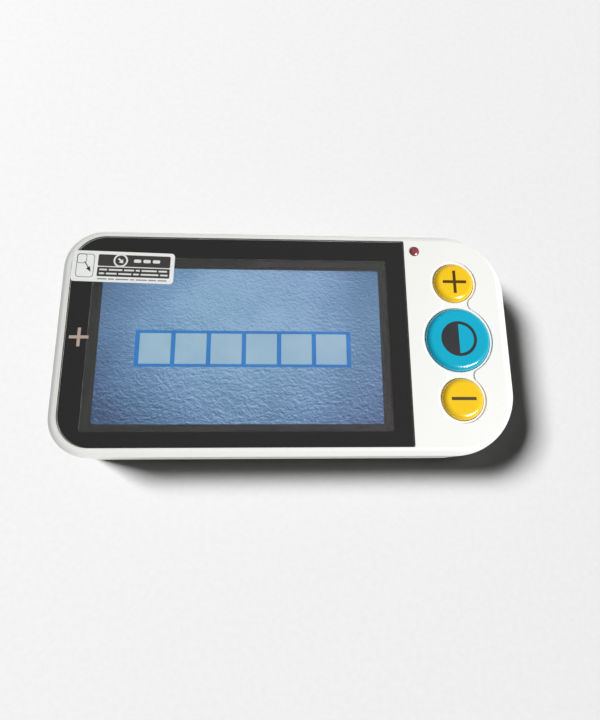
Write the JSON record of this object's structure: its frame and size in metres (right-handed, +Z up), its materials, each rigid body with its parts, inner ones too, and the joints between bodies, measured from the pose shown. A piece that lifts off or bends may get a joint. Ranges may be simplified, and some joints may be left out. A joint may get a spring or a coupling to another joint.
{
  "type": "video magnifier",
  "caption": "Flat hand-held video magnifier with a wide display window, a column of large round push buttons, an underside camera with reading lights, and a fold-out handle.",
  "frame": {"origin": "on the surface the four feet stand on, under the middle of the case", "axes": "+X from the display to the buttons, +Y towards the side sockets, +Z up out of the display"},
  "size_m": [0.1538, 0.0782, 0.0242],
  "materials": {
    "case_white": "satin white ABS with a faint moulded grain",
    "window_clear": "polished clear window with a black printed border",
    "gasket_black": "matt black adhesive gasket",
    "sticker_white": "satin white film label",
    "lcd_bezel": "dark satin steel bezel",
    "lcd_picture": "display face, lit picture",
    "diffuser_white": "white diffuser",
    "flex_amber": "amber flexible circuit",
    "board_green": "green solder mask",
    "component_black": "black moulded component",
    "plate_steel": "tinned steel",
    "pin_steel": "turned steel",
    "screw_steel": "zinc plated steel",
    "contact_gold": "gold plated spring",
    "led_white": "white LED package",
    "led_red": "red diffused dome",
    "optic_clear": "clear moulded optic",
    "trim_black": "gloss black trim",
    "rubber_grey": "moulded dark grey rubber",
    "washer_black": "acetal washer",
    "battery_wrap": "wrapped cell",
    "button_yellow": "glossy yellow",
    "button_blue": "glossy blue",
    "legend_dark": "dark inlay",
    "plunger_dark": "switch plunger",
    "side_key_grey": "satin grey key"
  },
  "bodies": {
    "case": {"front_shell": "case_white", "rear_shell": "case_white", "battery_cover": "case_white", "display_window": "window_clear", "window_gasket": "gasket_black", "screen_sticker": "sticker_white", "lcd_frame": "lcd_bezel", "lcd_panel": "lcd_picture", "lcd_backlight": "diffuser_white", "lcd_ribbon": "flex_amber", "keypad_ribbon": "flex_amber", "main_board": "board_green", "keypad_board": "board_green", "camera_board": "board_green", "light_board": "board_green", "board_chips": "component_black", "camera_housing": "component_black", "buzzer": "component_black", "battery_connector": "component_black", "tact_switches": "component_black", "side_switches": "component_black", "av_jack": "component_black", "processor_shield": "plate_steel", "usb_port": "plate_steel", "hinge_pin": "pin_steel", "lanyard_pin": "pin_steel", "case_screws": "screw_steel", "board_screws": "screw_steel", "keypad_screws": "screw_steel", "battery_cover_screw": "screw_steel", "battery_contacts": "contact_gold", "reading_leds": "led_white", "status_led": "led_white", "status_led_lens": "led_red", "camera_window": "optic_clear", "camera_lens": "optic_clear", "light_lenses": "optic_clear", "camera_trim": "trim_black", "camera_barrel": "trim_black", "rubber_feet": "rubber_grey", "friction_washers": "washer_black", "battery": "battery_wrap"},
    "zoom_in": {"zoom_in_button": "button_yellow", "zoom_in_legend": "legend_dark", "zoom_in_plunger": "plunger_dark"},
    "zoom_out": {"zoom_out_button": "button_yellow", "zoom_out_legend": "legend_dark", "zoom_out_plunger": "plunger_dark"},
    "contrast": {"contrast_button": "button_blue", "contrast_legend": "legend_dark", "contrast_plunger": "plunger_dark"},
    "power": {"power_button": "side_key_grey", "power_plunger": "plunger_dark"},
    "freeze": {"freeze_button": "side_key_grey", "freeze_plunger": "plunger_dark"},
    "handle": {"handle_body": "case_white", "handle_cover": "case_white", "handle_grip": "rubber_grey", "handle_screws": "screw_steel"}
  },
  "joints": [
    {"name": "zoom_in_press", "type": "slide", "parent": "case", "child": "zoom_in", "axis": [0, 0, -1], "range_m": [0, 0.0006], "stiffness_N_per_m": 1500, "springref_m": -0.0004},
    {"name": "zoom_out_press", "type": "slide", "parent": "case", "child": "zoom_out", "axis": [0, 0, -1], "range_m": [0, 0.0006], "stiffness_N_per_m": 1500, "springref_m": -0.0004},
    {"name": "contrast_press", "type": "slide", "parent": "case", "child": "contrast", "axis": [0, 0, -1], "range_m": [0, 0.0006], "stiffness_N_per_m": 1500, "springref_m": -0.0004},
    {"name": "power_press", "type": "slide", "parent": "case", "child": "power", "axis": [0, -1, 0], "range_m": [0, 0.0005], "stiffness_N_per_m": 1500, "springref_m": -0.0004},
    {"name": "freeze_press", "type": "slide", "parent": "case", "child": "freeze", "axis": [0, -1, 0], "range_m": [0, 0.0005], "stiffness_N_per_m": 1500, "springref_m": -0.0004},
    {"name": "handle_swing", "type": "hinge", "parent": "case", "child": "handle", "pos_m": [0.0695, 0, 0.0052], "axis": [0, -1, 0], "range_deg": [0, 180]}
  ]
}
